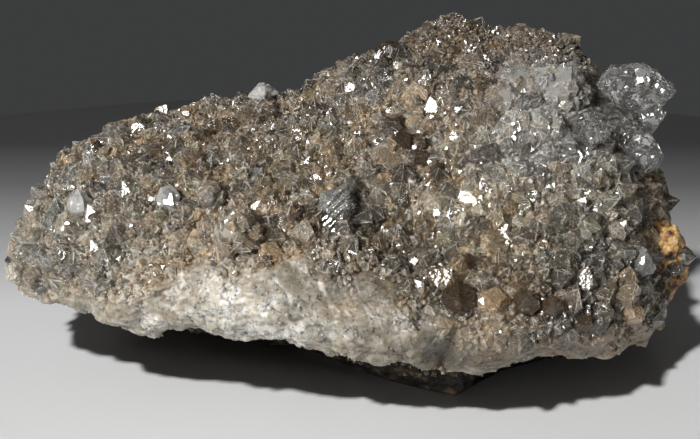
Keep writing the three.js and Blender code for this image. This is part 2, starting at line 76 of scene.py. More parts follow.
SMOKE = np.array([0.46, 0.295, 0.14])
GREY = np.array([0.52, 0.46, 0.37])
WHITE = np.array([0.435, 0.42, 0.38])
BEIGE = np.array([0.185, 0.168, 0.133])
# The right lobe's lower edge: its own grey, made darker as painted shade.
SHADED_GREY_EDGE = np.array([0.085, 0.078, 0.06])
ZONES = [  # place, reach in mm, tint, how strongly it colours
    ((14, 21, 49), 14, (0.15, 0.10, 0.055), 0.9),  # the fine brown druse on the mound
    ((31, 18, 47), 11, (0.12, 0.09, 0.06), 0.85),
    ((-9, -4, 31.5), 9, (0.60, 0.46, 0.27), 0.6),  # golden beige slopes
    ((21, -13, 30), 10, (0.60, 0.45, 0.25), 0.7),
    ((9, -1, 35), 5, (0.18, 0.115, 0.06), 0.8),  # brown hollows
    ((13, 6, 39), 6, (0.30, 0.20, 0.11), 0.6),
    ((2, -12, 29), 5, (0.075, 0.048, 0.022), 0.9),  # the dark valley, darkened as painted shade
    ((6, -18, 25), 5, (0.12, 0.086, 0.05), 0.85),
    ((9, -23, 22), 4, (0.18, 0.14, 0.09), 0.8),
    ((-11, -13, 29), 3.5, (0.55, 0.28, 0.14), 0.75),  # rust by the domed crystal
    ((41, -14, 26), 6, (0.42, 0.29, 0.17), 0.4),
    ((31, 5, 42), 9, (0.74, 0.72, 0.66), 0.8),  # the clear ledges
    ((28, -3, 37), 8, (0.76, 0.73, 0.66), 0.8),
    ((4, 13, 42), 7, (0.34, 0.31, 0.25), 0.6),  # grey-white under the ribbed crystal
    ((-36, -14, 23), 12, (0.56, 0.51, 0.41), 0.6),  # the pale left end
    ((-47, -4, 22), 9, (0.48, 0.43, 0.34), 0.6),
    ((30, -24, 19), 12, (0.13, 0.105, 0.075), 0.85),  # the grey foot of the right lobe, darker as painted shade
    # painted light on the right slope, which faces away from the key
    ((36, -10, 31), 8, (0.62, 0.54, 0.42), 0.6),
    ((13, -26, 13), 4.5, (0.03, 0.025, 0.02), 0.95),  # painted shade round the crevice
    ((-17, 19, 37), 14, (0.24, 0.175, 0.11), 0.75),  # the dim crest
    ((-5, 5, 37), 9, (0.36, 0.28, 0.18), 0.5),
]
WHITEST = [((-15, -24, 17), 8), ((-6, -26, 15), 5), ((-28, -20, 13), 4)]  # the milky edge is beige elsewhere
# Painted shade: the milky edge is darkened nearly to black round the crevice.
CREVICE_PAINTED_SHADE = ((13.2, -25.0, 13.0), 3.8)
FINE_DRUSE = [((16, 22, 50), 11), ((31, 18, 47), 9), ((-25, 18, 36), 10)]  # no coarse crystals here
LEDGES = [((31, 5, 42), 8), ((28, -3, 37), 8), ((42, 3, 38), 6)]  # here nearly all crystals are clear


def place(x, y, z):
    return np.array([x, y, z]) + SHIFT


def lengths(vectors):
    return np.linalg.norm(vectors, axis=1)


def falloff(points, at, reach):
    """1 at a place, falling to 0 over its reach."""
    return np.exp(-(lengths(points - place(*at)) / reach) ** 2)


def nearness(points, places):
    return sum(falloff(points, at, reach) for at, reach in places)


def smoothstep(low, high, x):
    t = np.clip((x - low) / (high - low), 0, 1)
    return t * t * (3 - 2 * t)


def fbm(points, scale, seed=0.0):
    """Fractal noise from -1 to 1 at points in mm, with features of about scale mm."""
    offset = Vector((seed, seed * 1.7, -seed))
    return np.array([noise.fractal(Vector(p) / scale + offset, 0.8, 2.1, 3) for p in points])


def milkiness(points):
    """How milky the crust is: 1 on the broken front edge left of the crevice, 0 on the slopes above it."""
    top = np.interp(points[:, 0], LIP_X, LIP_TOP)
    front = smoothstep(2, -7, points[:, 1])
    side = 1 - 0.3 * smoothstep(8, 16, points[:, 0])
    wander = 4.0 * fbm(points, 8.0, 3.1)
    return front * side * smoothstep(3.0, -2.5, points[:, 2] - top + wander)


def milk_colour(points):
    white = np.zeros(len(points))
    for at, reach in WHITEST:
        white = np.maximum(white, falloff(points, at, reach))
    white = smoothstep(0.15, 0.75, white + 0.25 * fbm(points, 3.0, 2.2))[:, None]
    # Right of the crevice the edge turns grey and dark: partly its own colour, partly painted shade.
    right = smoothstep(9, 13, points[:, 0] - 0.3 * points[:, 2] + 4)[:, None]
    dimmer = 1 - 0.32 * smoothstep(-4, 5, points[:, 0])[:, None]
    pale = (BEIGE * (1 - white) + WHITE * white) * dimmer
    # Painted shade darkens the crevice nearly to black.
    return (pale * (1 - right) + SHADED_GREY_EDGE * right) * (1 - 0.97 * falloff(points, *CREVICE_PAINTED_SHADE)[:, None])


def tints(points, spread, key, glassy=0.0):
    """A colour for each point: smoky by default, turned by the zones, with each crystal's own variation. glassy
    takes it towards the near-white of clear quartz."""
    own = default_rng(key)
    n = len(points)
    patch = 0.8 * smoothstep(-0.3, 0.5, fbm(points, 6.0, 7.7))[:, None]
    colour = SMOKE * (1 - patch) + GREY * patch
    for at, reach, tint, strength in ZONES:
        weight = strength * falloff(points, at, reach)[:, None]
        colour = colour * (1 - weight) + np.array(tint) * weight
    milk = milkiness(points)[:, None]
    colour = colour * (1 - 0.9 * milk) + milk_colour(points) * 0.9 * milk
    bright = (own.normal(0, 1, n) * spread + 0.5 * fbm(points, 3.5, 12.0)) * (1 - 0.7 * milk[:, 0])
    warm = own.normal(0, 0.1, n)[:, None] * (1 - 0.7 * milk)
    colour = colour * np.exp(bright)[:, None] * np.hstack([1 + warm, np.ones_like(warm), 1 - warm])
    return np.clip(colour, 0.008, 0.92) ** (1 - glassy)


# ---- Meshes ----


def added(name, data):
    """A new object in the scene."""
    thing = bpy.data.objects.new(name, data)
    scene.collection.objects.link(thing)
    return thing


def new_piece(name, verts_mm, faces, material, colours=None, smooth=False):
    """A mesh piece that rides on the root. colours has one row per vertex."""
    mesh = bpy.data.meshes.new(name)
    mesh.from_pydata((verts_mm * MM).tolist(), [], faces.tolist())
    mesh.validate()
    mesh.polygons.foreach_set("use_smooth", np.full(len(mesh.polygons), smooth))
    if colours is not None:
        layer = mesh.color_attributes.new("tint", "FLOAT_COLOR", "POINT")
        values = np.ones((len(mesh.vertices), 4))
        values[:, :3] = colours
        layer.data.foreach_set("color", values.ravel())
    piece = added(name, mesh)
    piece.data.materials.append(material)
    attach(piece, "root")
    return piece


def set_milk(piece, share):
    """How milky the crust's look is at each vertex of a piece."""
    piece.data.attributes.new("milk", "FLOAT", "POINT").data.foreach_set("value", share)


def read(items, key, width, kind=float):
    """One property of a mesh's items, as rows of that width."""
    values = np.empty(len(items) * width, dtype=kind)
    items.foreach_get(key, values)
    return values.reshape(-1, width)


def solid(name):
    """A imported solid's vertices in mm and its triangles."""
    mesh = nodes[name].data
    mesh.calc_loop_triangles()
    world = np.array(nodes[name].matrix_world)
    co = read(mesh.vertices, "co", 3) @ world[:3, :3].T + world[:3, 3]
    return co / MM, read(mesh.loop_triangles, "vertices", 3, np.int32)


def remeshed(verts, tris, voxel_mm, smooth_rounds):
    """A closed surface rebuilt as an even net of quads and smoothed, as (vertices in mm, quads)."""
    mesh = bpy.data.meshes.new("remesh")
    mesh.from_pydata(verts.tolist(), [], tris.tolist())
    holder = added("remesh", mesh)
    change = holder.modifiers.new("remesh", "REMESH")
    change.mode = "VOXEL"
    change.voxel_size = voxel_mm
    calm = holder.modifiers.new("smooth", "SMOOTH")
    calm.iterations = smooth_rounds
    done = bpy.data.meshes.new_from_object(holder.evaluated_get(bpy.context.evaluated_depsgraph_get()))
    bpy.data.objects.remove(holder)
    rebuilt = read(done.vertices, "co", 3), read(done.polygons, "vertices", 4, np.int32)
    bpy.data.meshes.remove(done)
    return rebuilt


def joined(meshes):
    """Several (vertices, triangles) as one."""
    starts = np.cumsum([0] + [len(verts) for verts, _ in meshes[:-1]])
    return np.vstack([verts for verts, _ in meshes]), np.vstack([tris + at for (_, tris), at in zip(meshes, starts)])


def tree_of(verts, faces):
    return BVHTree.FromPolygons(verts.tolist(), faces.tolist())


def nearest(tree, points, what):
    """The place on a surface (0) or its normal (1) nearest to each point."""
    return np.array([tree.find_nearest(Vector(p))[what][:] for p in points])


def face_normals(verts, faces):
    """Each triangle's or quad's normal, as long as twice its area."""
    corners = [verts[corner] for corner in faces.T]
    return np.cross(corners[-2] - corners[0], corners[-1] - corners[-3])


def vertex_normals(verts, faces):
    out = face_normals(verts, faces)
    normals = np.zeros_like(verts)
    for corner in faces.T:
        np.add.at(normals, corner, out)
    return normals / (lengths(normals)[:, None] + TINY)


def by_weight(own, weight, number):
    """Random indices, the likelier the greater their weight."""
    return own.choice(len(weight), size=number, p=weight / weight.sum())


# ---- Crystals ----


def quartz_shape(own, aspect, both_ends, uneven):
    """One quartz crystal of radius 1 about +Z as (vertices, triangles): uneven prism faces, three large and three
    small tip faces, and the same below or a cut base."""

    def tip_reach(large):
        return aspect * (1.0 if large else own.uniform(1.0, 1.35)) * (1 + uneven * own.uniform(-0.35, 0.35))

    planes = []
    for k in range(6):
        angle = k * math.pi / 3 + own.normal(0, 0.03)
        side = np.array([math.cos(angle), math.sin(angle), 0.0])
        planes.append((side, 1 + uneven * own.uniform(-0.5, 0.5)))
        tip = np.array([side[0], side[1], 0.78 + own.normal(0, 0.02)])
        tip /= np.linalg.norm(tip)
        planes.append((tip, tip_reach(k % 2 == 0) * tip[2]))
        if both_ends:
            planes.append((tip * np.array([1, 1, -1]), tip_reach(k % 2 == 1) * tip[2]))
    if not both_ends:
        planes.append((np.array([0, 0, -1.0]), aspect * 0.75))
    normals, offsets = (np.array(part) for part in zip(*planes))
    index = np.array(list(itertools.combinations(range(len(planes)), 3)))
    systems = normals[index]
    solvable = np.abs(np.linalg.det(systems)) > 1e-4
    corners = np.linalg.solve(systems[solvable], offsets[index[solvable]][:, :, None])[:, :, 0]
    keep = []
    for corner in corners[(corners @ normals.T <= offsets + 1e-6).all(axis=1)]:
        if all(np.linalg.norm(corner - other) > 0.03 for other in keep):
            keep.append(corner)
    bm = bmesh.new()
    for corner in keep:
        bm.verts.new(corner)
    bmesh.ops.convex_hull(bm, input=bm.verts)
    bmesh.ops.triangulate(bm, faces=bm.faces)
    bm.verts.ensure_lookup_table()
    bm.verts.index_update()
    used = {v.index: i for i, v in enumerate(v for v in bm.verts if v.link_faces)}
    verts = np.array([v.co[:] for v in bm.verts if v.link_faces])
    tris = np.array([[used[v.index] for v in f.verts] for f in bm.faces])
    bm.free()
    return verts, tris


def fan(n, tip, first=0, flip=False):
    """Triangles from a ring of n corners to a tip."""
    ring = [(first + k, first + (k + 1) % n) for k in range(n)]
    return [(b, a, tip) if flip else (a, b, tip) for a, b in ring]


def grain_shape(own):
    """A plain small crystal: six uneven corners round the middle, a tip above and one below."""
    angle = np.arange(6) * math.pi / 3 + own.normal(0, 0.15, 6)
    far = own.uniform(0.75, 1.2, 6)
    waist = np.stack([np.cos(angle) * far, np.sin(angle) * far, own.normal(0, 0.2, 6)], axis=1)
    verts = np.vstack([waist, [[*own.normal(0, 0.15, 2), own.uniform(0.8, 1.3)]], [[0, 0, -1.0]]])
    return verts, np.array(fan(6, 6) + fan(6, 7, flip=True))


def plate_shape(own):
    """A thin closed plate, often long and slim: five uneven corners round the middle."""
    angle = np.sort(own.uniform(0, 2 * math.pi, 5))
    rim = np.stack([np.cos(angle), np.sin(angle), np.zeros(5)], axis=1) * own.uniform(0.5, 1.0, (5, 1))
    rim[:, 1] *= own.choice([0.25, 0.4, 0.9])
    corners = np.vstack([rim, [[0, 0, 0.06]], [[0, 0, -0.06]]])
    return corners, np.array(fan(5, 5) + fan(5, 6, flip=True))


POINTS = [quartz_shape(rng, rng.uniform(1.0, 1.7), False, rng.uniform(0.2, 0.7)) for _ in range(36)]
DOUBLES = [quartz_shape(rng, rng.uniform(1.15, 1.6), True, rng.uniform(0.15, 0.5)) for _ in range(24)]
GRAINS = [grain_shape(rng) for _ in range(24)]
PLATES = [plate_shape(default_rng(200 + n)) for n in range(12)]


def turned(axis, roll):
    """Rotation matrices that take +Z to each axis, after a roll about it."""
    axis = axis / lengths(axis)[:, None]
    helper = np.where(np.abs(axis[:, 2:3]) < 0.9, np.array([[0.0, 0, 1]]), np.array([[1.0, 0, 0]]))
    x = np.cross(helper, axis)
    x /= lengths(x)[:, None]
    y = np.cross(axis, x)
    c, s = np.cos(roll)[:, None], np.sin(roll)[:, None]
    return np.stack([x * c + y * s, y * c - x * s, axis], axis=2)


def crystal_field(name, centres, axes, radii, colours, material, library, key, smooth=False):
    """Joined mesh of one crystal at each centre."""
    own = default_rng(key)
    turns = turned(axes, own.uniform(0, 2 * math.pi, len(centres)))
    pick = own.integers(0, len(library), len(centres))
    meshes, tinted = [], []
    for kind, (verts, tris) in enumerate(library):
        chosen = np.flatnonzero(pick == kind)
        moved = np.einsum("nij,vj->nvi", turns[chosen], verts) * radii[chosen][:, None, None]
        moved += centres[chosen][:, None, :]
        starts = np.arange(len(chosen)) * len(verts)
        meshes.append((moved.reshape(-1, 3), (tris[None] + starts[:, None, None]).reshape(-1, 3)))
        tinted.append(np.repeat(colours[chosen], len(verts), axis=0))
    return new_piece(name, *joined(meshes), material, np.vstack(tinted), smooth)


AROUND = list(itertools.product((-1, 0, 1), repeat=3))


def scattered(verts, quads, number, keep, spacing, key):
    """Points over a net of quads at least spacing apart, as (points, normals). keep gives each point's chance."""
    own = default_rng(key)
    out = face_normals(verts, quads)
    pick = by_weight(own, lengths(out), number)
    a, b, c, d = (verts[corner] for corner in quads[pick].T)
    s, t = own.uniform(0, 1, (2, number, 1))
    points = a * (1 - s) * (1 - t) + b * s * (1 - t) + c * s * t + d * (1 - s) * t
    facing = out[pick] / (lengths(out[pick])[:, None] + TINY)
    alive = own.uniform(0, 1, number) < keep(points, facing)
    points, facing = points[alive], facing[alive]
    grid = {}
    chosen = []
    for n, (i, j, k) in enumerate(np.floor(points / spacing).astype(int).tolist()):
        rivals = (m for di, dj, dk in AROUND for m in grid.get((i + di, j + dj, k + dk), ()))
        if all(((points[n] - points[m]) ** 2).sum() >= spacing * spacing for m in rivals):
            grid.setdefault((i, j, k), []).append(n)
            chosen.append(n)
    return points[chosen], facing[chosen]


# ---- Materials: a bare number for a colour is a grey ----

QUARTZ_IOR = 1.544
WARM_SCATTER = (1.0, 0.9, 0.75)  # how far red, green and blue wander inside cloudy quartz


def rgba(colour):
    return (*colour, 1) if isinstance(colour, tuple) else (colour, colour, colour, 1)


def fill(node, **values):
    """A node with values in its own sockets; _ stands for a space."""
    for key, value in values.items():
        node.inputs[key.replace("_", " ")].default_value = value
    return node


class Look:
    """The nodes of a material, or of the world, under way: add() makes a node, wire() joins two sockets."""

    def __init__(self, name, world=None):
        self.material = world or bpy.data.materials.new(name)
        self.material.use_nodes = True
        self.tree = self.material.node_tree
        self.shader = self.tree.nodes["Background" if world else "Principled BSDF"]
        self.place = self.add("TexCoord").outputs["Generated" if world else "Object"]

    def add(self, kind, **settings):
        node = self.tree.nodes.new("ShaderNode" + kind)
        for key, value in settings.items():
            setattr(node, key, value)
        return node

    def wire(self, start, end):
        self.tree.links.new(start, end)

    def noise(self, size_mm, detail=3.0, roughness=0.6, shift=0.0):
        """Noise with features of about size_mm, as a value socket."""
        node = fill(self.add("TexNoise"), Scale=1.0 / (size_mm * MM), Detail=detail, Roughness=roughness)
        start = self.place
        if shift:
            moved = self.add("VectorMath", operation="ADD")
            moved.inputs[1].default_value = (shift, shift * 0.7, -shift)
            self.wire(self.place, moved.inputs[0])
            start = moved.outputs[0]
        self.wire(start, node.inputs["Vector"])
        return node.outputs["Fac"]

    def ramp(self, value, *stops):
        """Colours along a value: stops are (position, colour)."""
        node = self.add("ValToRGB")
        while len(node.color_ramp.elements) < len(stops):
            node.color_ramp.elements.new(0.5)
        for element, (position, colour) in zip(node.color_ramp.elements, stops):
            element.position = position
            element.color = rgba(colour)
        self.wire(value, node.inputs["Fac"])
        return node.outputs["Color"]

    def mix(self, factor, first, second, blend="MIX"):
        """first and second mixed by a factor; each of the three is a socket or a value."""
        node = self.add("Mix", data_type="RGBA", blend_type=blend)
        if isinstance(factor, float):
            node.inputs[0].default_value = factor
        else:
            self.wire(factor, node.inputs[0])
        for socket, given in zip([s for s in node.inputs if s.type == "RGBA"], (first, second)):
            if isinstance(given, (tuple, float)):
                socket.default_value = rgba(given)
            else:
                self.wire(given, socket)
        return [s for s in node.outputs if s.type == "RGBA"][0]

    def times(self, first, second):
        return self.mix(1.0, first, second, "MULTIPLY")

    def attribute(self, name, output="Color"):
        return self.add("Attribute", attribute_name=name).outputs[output]

    def flecks_and_glints(self, rim_highlights, cracks):
        """A mask of small round white specks, of short thin cracks and of bright lines along the edges, 1 where they
        are. The specks and cracks are partly inclusions in the quartz and partly painted glints; the edge lines are
        painted highlights, broken up by noise.
        """
        # Small white specks and thin cracks: partly inclusions, partly painted glints.
        cells = fill(self.add("TexVoronoi"), Scale=1.0 / (0.6 * MM))
        self.wire(self.place, cells.inputs["Vector"])
        dots = self.ramp(cells.outputs["Distance"], (0.12, 1.0), (0.22, 0.0))
        dots = self.times(dots, self.ramp(cells.outputs["Color"], (0.7, 0.0), (0.9, 1.0)))
        thin = ((0.484, 0.0), (0.496, 1.0), (0.504, 1.0), (0.516, 0.0))
        lines = self.ramp(self.noise(1.1, 1.0, 0.5, shift=7.0), *thin)
        parts = self.ramp(self.noise(1.7, 1.0, 0.5, shift=9.0), (0.55, 0.0), (0.6, 0.8))
        found = self.times(self.mix(1.0, dots, self.times(lines, parts), "LIGHTEN"), cracks)
        # Painted highlights along the crystals' edges, broken up by noise.
        if rim_highlights:
            edge = fill(self.add("Wireframe"), Size=0.05 * MM)
            broken_rim_highlight = self.ramp(self.noise(0.9, 1.0, 0.5, shift=11.0), (0.4, 0.0), (0.6, rim_highlights))
            found = self.mix(1.0, found, self.times(edge.outputs[0], broken_rim_highlight), "LIGHTEN")
        return found

    def paint(self, colour, socket="Base Color"):
        self.wire(colour, self.shader.inputs[socket])

    def bump(self, height, strength, distance_mm):
        node = fill(self.add("Bump"), Strength=strength, Distance=distance_mm * MM)
        self.wire(height, node.inputs["Height"])
        self.paint(node.outputs["Normal"], "Normal")

    def set(self, **values):
        fill(self.shader, **values)


def druse_look(name, transmission, roughness, speckle, haze=0.0, rim_highlights=0.0, rough=0.7, cracks=1.0):
    """Translucent quartz: plain transmission with a cloudy, speckled body, small white specks and cracks that are
    partly inclusions and partly painted glints, and painted highlights along the edges.
    haze is the share of light that wanders inside, rough the strength of the bumps."""
    look = Look(name)
    fine = look.ramp(look.noise(0.3, 2.0), (0.36, 1 - speckle), (0.5, 1.0), (0.64, 1 + 2 * speckle))
    cloudy = look.ramp(look.noise(1.3, shift=1.0), (0.3, (0.86, 0.83, 0.78)), (0.7, 1.1))
    colour = look.times(look.times(look.attribute("tint"), fine), cloudy)
    # Specks and cracks that are partly painted glints, and painted edge highlights.
    flecks_and_glints = look.flecks_and_glints(rim_highlights, cracks)
    look.paint(look.mix(flecks_and_glints, colour, (0.88, 0.85, 0.78)))
    look.set(Roughness=roughness, IOR=QUARTZ_IOR)
    look.paint(look.ramp(flecks_and_glints, (0.0, transmission), (1.0, 0.1 * transmission)), "Transmission Weight")
    if haze:
        look.set(Subsurface_Weight=haze, Subsurface_Scale=0.8 * MM, Subsurface_Radius=WARM_SCATTER)
    look.bump(look.noise(0.7, 1.0, 0.5, shift=3.0), rough, 0.18)
    return look.material


def crust_look():
    look = Look("quartz crust")
    grain = look.noise(0.6, 4.0, 0.7)
    patches = look.noise(2.2, shift=1.3)
    speck = look.ramp(grain, (0.36, 0.35), (0.5, 1.0), (0.63, 2.0))
    calm = look.ramp(grain, (0.32, (0.72, 0.67, 0.58)), (0.5, 1.0), (0.66, 1.22))
    specks = look.ramp(look.noise(0.5, 2.0, shift=13.0), (0.27, (0.45, 0.36, 0.26)), (0.33, 1.0))
    calm = look.times(calm, specks)
    speck = look.mix(look.attribute("milk", "Fac"), speck, calm)
    patch = look.ramp(patches, (0.36, (0.74, 0.69, 0.6)), (0.62, 1.16))
    look.paint(look.times(look.times(look.attribute("tint"), speck), patch))
    look.set(Roughness=0.38, IOR=QUARTZ_IOR)
    look.set(Subsurface_Weight=0.8, Subsurface_Scale=2 * MM, Subsurface_Radius=WARM_SCATTER)
    look.bump(grain, 0.6, 0.12)
    return look.material


def stone_look(name, grain_mm, patch_mm, shift, stops, darkest, bump_mm, **settings):
    """Rough stone: patches of colour, darker and lighter by the grain."""
    look = Look(name)
    grain = look.noise(grain_mm, 5.0, 0.7)
    patches = look.ramp(look.noise(patch_mm, shift=shift), *stops)
    look.paint(look.times(patches, look.ramp(grain, (0.3, darkest), (0.7, 1.5))))
    look.set(**settings)
    look.bump(grain, 0.8, bump_mm)
    return look.material


def glass_look(name, colour, clearness=0.9, roughness=0.03, body=(1.0, 0.99, 0.96), density=12.0):
    """Clear quartz: plain transmission and IOR on the surface, absorption inside, and faint darker wisps."""
    look = Look(name)
    look.paint(look.ramp(look.noise(1.6, 4.0, shift=5.0), (0.42, tuple(0.8 * c for c in body)), (0.62, body)))
    look.set(Roughness=roughness, IOR=QUARTZ_IOR, Transmission_Weight=clearness)
    inside = fill(look.add("VolumeAbsorption"), Color=rgba(colour), Density=density)
    look.wire(inside.outputs[0], look.tree.nodes["Material Output"].inputs["Volume"])
    return look.material


def veil_look():
    look = Look("healed crack in quartz")
    wisps = look.ramp(look.noise(0.5, 2.0), (0.35, 0.65), (0.6, 1.0))
    look.paint(look.times(look.attribute("tint"), wisps))
    look.set(Roughness=0.1, IOR=QUARTZ_IOR, Transmission_Weight=0.3)
    return look.material


SMOKY_LOOK = druse_look("smoky quartz druse", 0.9, 0.05, 0.25, rim_highlights=0.7, rough=0.42, cracks=0.35)
CLEAR_LOOK = druse_look("clear quartz druse", 0.94, 0.03, 0.1, rim_highlights=0.8, rough=0.4, cracks=0.3)
CLOUDY_LOOK = druse_look("cloudy quartz druse", 0.72, 0.08, 0.3, rim_highlights=0.6, rough=0.42, cracks=0.7)
LEDGE_LOOK = druse_look("whitish clear quartz", 0.8, 0.04, 0.1, rim_highlights=0.7, rough=0.4, cracks=0.6)
LUMP_LOOK = druse_look("soft cloudy quartz", 0.45, 0.15, 0.2, haze=0.4, rim_highlights=0.5, rough=0.5)
FINE_LOOK = druse_look("fine quartz druse", 0.72, 0.08, 0.3)
VEIL_LOOK = veil_look()
CRUST_LOOK = crust_look()
# The matrix's own dark colour, made near black as painted shade under the lip.
ROCK_IN_SHADE_STOPS = ((0.4, (0.006, 0.005, 0.004)), (0.54, (0.02, 0.016, 0.011)), (0.68, (0.09, 0.066, 0.042)))
ROCK_LOOK = stone_look("dolomite matrix in painted shade", 0.7, 3.5, 2.1, ROCK_IN_SHADE_STOPS, 0.5, 0.25, Roughness=0.75, Specular_IOR_Level=0.2)
RUST_STOPS = (
    (0.36, (0.012, 0.009, 0.007)), (0.43, (0.24, 0.11, 0.035)), (0.52, (0.58, 0.36, 0.14)), (0.64, (0.57, 0.39, 0.19))
)
RUST_LOOK = stone_look("iron stained rock", 0.5, 1.8, 0.4, RUST_STOPS, 0.55, 0.2, Roughness=0.5)
GLASS_LOOK = glass_look("clear quartz", (0.92, 0.9, 0.84), 0.96)
HAZY_GLASS_LOOK = glass_look("hazy quartz", (0.92, 0.89, 0.82), 0.8, 0.06, (0.8, 0.78, 0.73))
CLOUDY_GLASS_LOOK = glass_look("cloudy quartz", (0.95, 0.93, 0.88), 0.7, 0.12, (0.92, 0.89, 0.82))
WARM_GLASS_LOOK = glass_look("warm hazy quartz", (0.95, 0.92, 0.84), 0.62, 0.08, (0.86, 0.8, 0.68))
PALE_GLASS_LOOK = glass_look("pale cloudy quartz", (0.95, 0.94, 0.9), 0.5, 0.12, (0.85, 0.84, 0.8))
SMOKE_GLASS_LOOK = glass_look("smoky quartz", (0.62, 0.48, 0.32), 0.9, 0.15, (0.36, 0.27, 0.18), 160.0)

# ---- Where crystals grow ----

crust_verts, crust_tris = solid("quartz_crust")
form_verts, form_quads = remeshed(crust_verts, crust_tris, 0.9, 8)
form_tree = tree_of(form_verts, form_quads)
solids = tree_of(*joined([solid(name) for name in nodes]))

SKY = rng.normal(size=(14, 3))
SKY /= lengths(SKY)[:, None]


def openness(points, normals):
    """The share of directions about each point from which it can be seen, 0 to 1."""
    share = np.zeros(len(points))
    for n, (point, normal) in enumerate(zip(points, normals)):
        start = Vector(point + normal * 1.2)
        ways = (way if way @ normal > 0 else -way for way in SKY)
        share[n] = sum(solids.ray_cast(start, Vector(way))[0] is None for way in ways) / len(SKY)
    return share


quad_open = openness(form_verts, vertex_normals(form_verts, form_quads))[form_quads].mean(axis=1)


def open_chance(points, facing):
    """Crystals grow where the crust is open to the air, and not on the broken edge or underneath."""
    share = quad_open[[form_tree.find_nearest(Vector(p))[2] for p in points]]
    return smoothstep(0.25, 0.45, share) * smoothstep(-0.55, -0.15, facing[:, 2])


def on_druse(points, facing):
    return open_chance(points, facing) * (0.07 + 0.93 * smoothstep(0.65, 0.2, milkiness(points)))


def large_on_druse(points, facing):
    return on_druse(points, facing) * (0.8 * np.clip(1 - 1.2 * nearness(points, FINE_DRUSE), 0, 1))


HEROES = [name for name in nodes if name not in ("quartz_crust", "matrix_rock", "iron_stained_nub")]
hero_trees = []
for name in HEROES:
    verts, tris = solid(name)
    hero_trees.append((verts.min(axis=0) - 3, verts.max(axis=0) + 3, tree_of(verts, tris)))


def by_heroes(points):
    """The points round each large crystal, as (index, whether it is inside, its distance from the surface)."""
    for low, high, tree in hero_trees:
        for n in np.flatnonzero(((points > low) & (points < high)).all(axis=1)):
            spot = Vector(points[n])
            near, normal, _, distance = tree.find_nearest(spot)
            yield n, (spot - near) @ normal < 0, distance


def clear_of_heroes(points, room):
    """True where a crystal doesn't run into one of the large crystals: its middle has that room from them."""
    free = np.ones(len(points), dtype=bool)
    for n, inside, distance in by_heroes(points):
        if inside or distance < room[n]:
            free[n] = False
    return free


def hero_painted_shade_and_light(points):
    """Painted shade round the feet of the large crystals, and painted light under them, where the glass keeps the
    lamps' light from the crust.
    """
    shade = np.ones(len(points))
    for n, inside, distance in by_heroes(points):
        if inside:
            # painted light under the crystal
            shade[n] = max(shade[n], 1 + 2.6 * min(1.0, distance / 0.6))
        else:
            # painted shade round its foot
            shade[n] = min(shade[n], 0.45 + 0.55 * min(1.0, distance / 1.3))
    return shade


LARGEST_FINE = 0.56  # crystals up to this radius may touch a large one


def grown(number, keep, spacing, radius_of, sink, key):
    """Centres, outward directions and radii of one size of crystal, clear of the large ones."""
    own = default_rng(key + 100)
    at, facing = scattered(form_verts, form_quads, number, keep, spacing, key)
    radii = radius_of(own, len(at))
    at = at + facing * radii[:, None] * sink
    free = clear_of_heroes(at, np.where(radii > LARGEST_FINE, 0.6 * radii, 0.1))
    return at[free], facing[free], radii[free]


def parted(group, chosen):
    return tuple(part[chosen] for part in group), tuple(part[~chosen] for part in group)


def split(group, share):
    """A group parted by lot. Shares above 0.4 are of clear crystals, which the ledges have more of."""
    near = nearness(group[0], LEDGES)
    return parted(group, lots.uniform(0, 1, len(group[0])) < share + (1 - share) * np.minimum(near, 1) * (share > 0.4))


def field(name, group, spread, glassy, look, library, lean, key):
    """Crystals of a group, each leaning its own way from the crust."""
    at, facing, radii = group
    axes = facing + default_rng(key).normal(0, lean, facing.shape)
    axes[:, 2] += 0.15
    crystal_field(name, at, axes, radii, tints(at, spread, key, glassy), look, library, key)


large = grown(9000, large_on_druse, 3.0, lambda own, n: own.uniform(1.3, 2.2, n), -0.4, 31)
medium = grown(60000, on_druse, 1.6, lambda own, n: np.clip(own.lognormal(0.0, 0.28, n), 0.6, 1.6), -0.2, 32)
small = grown(200000, open_chance, 0.62, lambda own, n: own.uniform(0.25, 0.55, n), 0.15, 33)
medium = (*medium[:2], medium[2] * (1 - 0.4 * np.clip(nearness(medium[0], FINE_DRUSE), 0, 1)))

MILKY = 0.12  # crystals on a crust that is milkier are soft and cloudy
large_milky, large = parted(large, milkiness(large[0]) > MILKY)
medium_milky, medium = parted(medium, milkiness(medium[0]) > MILKY)
lots = default_rng(41)
large_clear, large_rest = split(large, 0.5)
large_cloudy, large_smoky = split(large_rest, 0.4)
medium_clear, medium_rest = split(medium, 0.42)
medium_cloudy, medium_smoky = split(medium_rest, 0.35)
field("large_clear_points", large_clear, 0.7, 0.75, CLEAR_LOOK, DOUBLES, 0.42, 61)
field("large_smoky_points", large_smoky, 0.6, 0.5, SMOKY_LOOK, DOUBLES, 0.42, 62)
field("large_cloudy_points", large_cloudy, 0.3, 0.4, CLOUDY_LOOK, DOUBLES, 0.42, 67)
field("medium_clear_points", medium_clear, 0.7, 0.75, CLEAR_LOOK, POINTS, 0.45, 63)
field("medium_smoky_points", medium_smoky, 0.7, 0.5, SMOKY_LOOK, POINTS, 0.45, 64)
field("medium_cloudy_points", medium_cloudy, 0.35, 0.4, CLOUDY_LOOK, POINTS, 0.45, 68)
for name, group, key in (("large_milky_points", large_milky, 71), ("medium_milky_points", medium_milky, 72)):
    at, facing, radii = parted(group, milkiness(group[0]) < 0.55)[0]
    radii = radii * (1 - 0.7 * milkiness(at))
    field(name, (at - 0.25 * facing * radii[:, None], facing, radii), 0.12, 0.4, LUMP_LOOK, POINTS, 0.45, key)
_, small = parted(small, milkiness(small[0]) > 0.45)
field("fine_smoky_druse", small, 0.45, 0.5, FINE_LOOK, GRAINS, 0.5, 65)


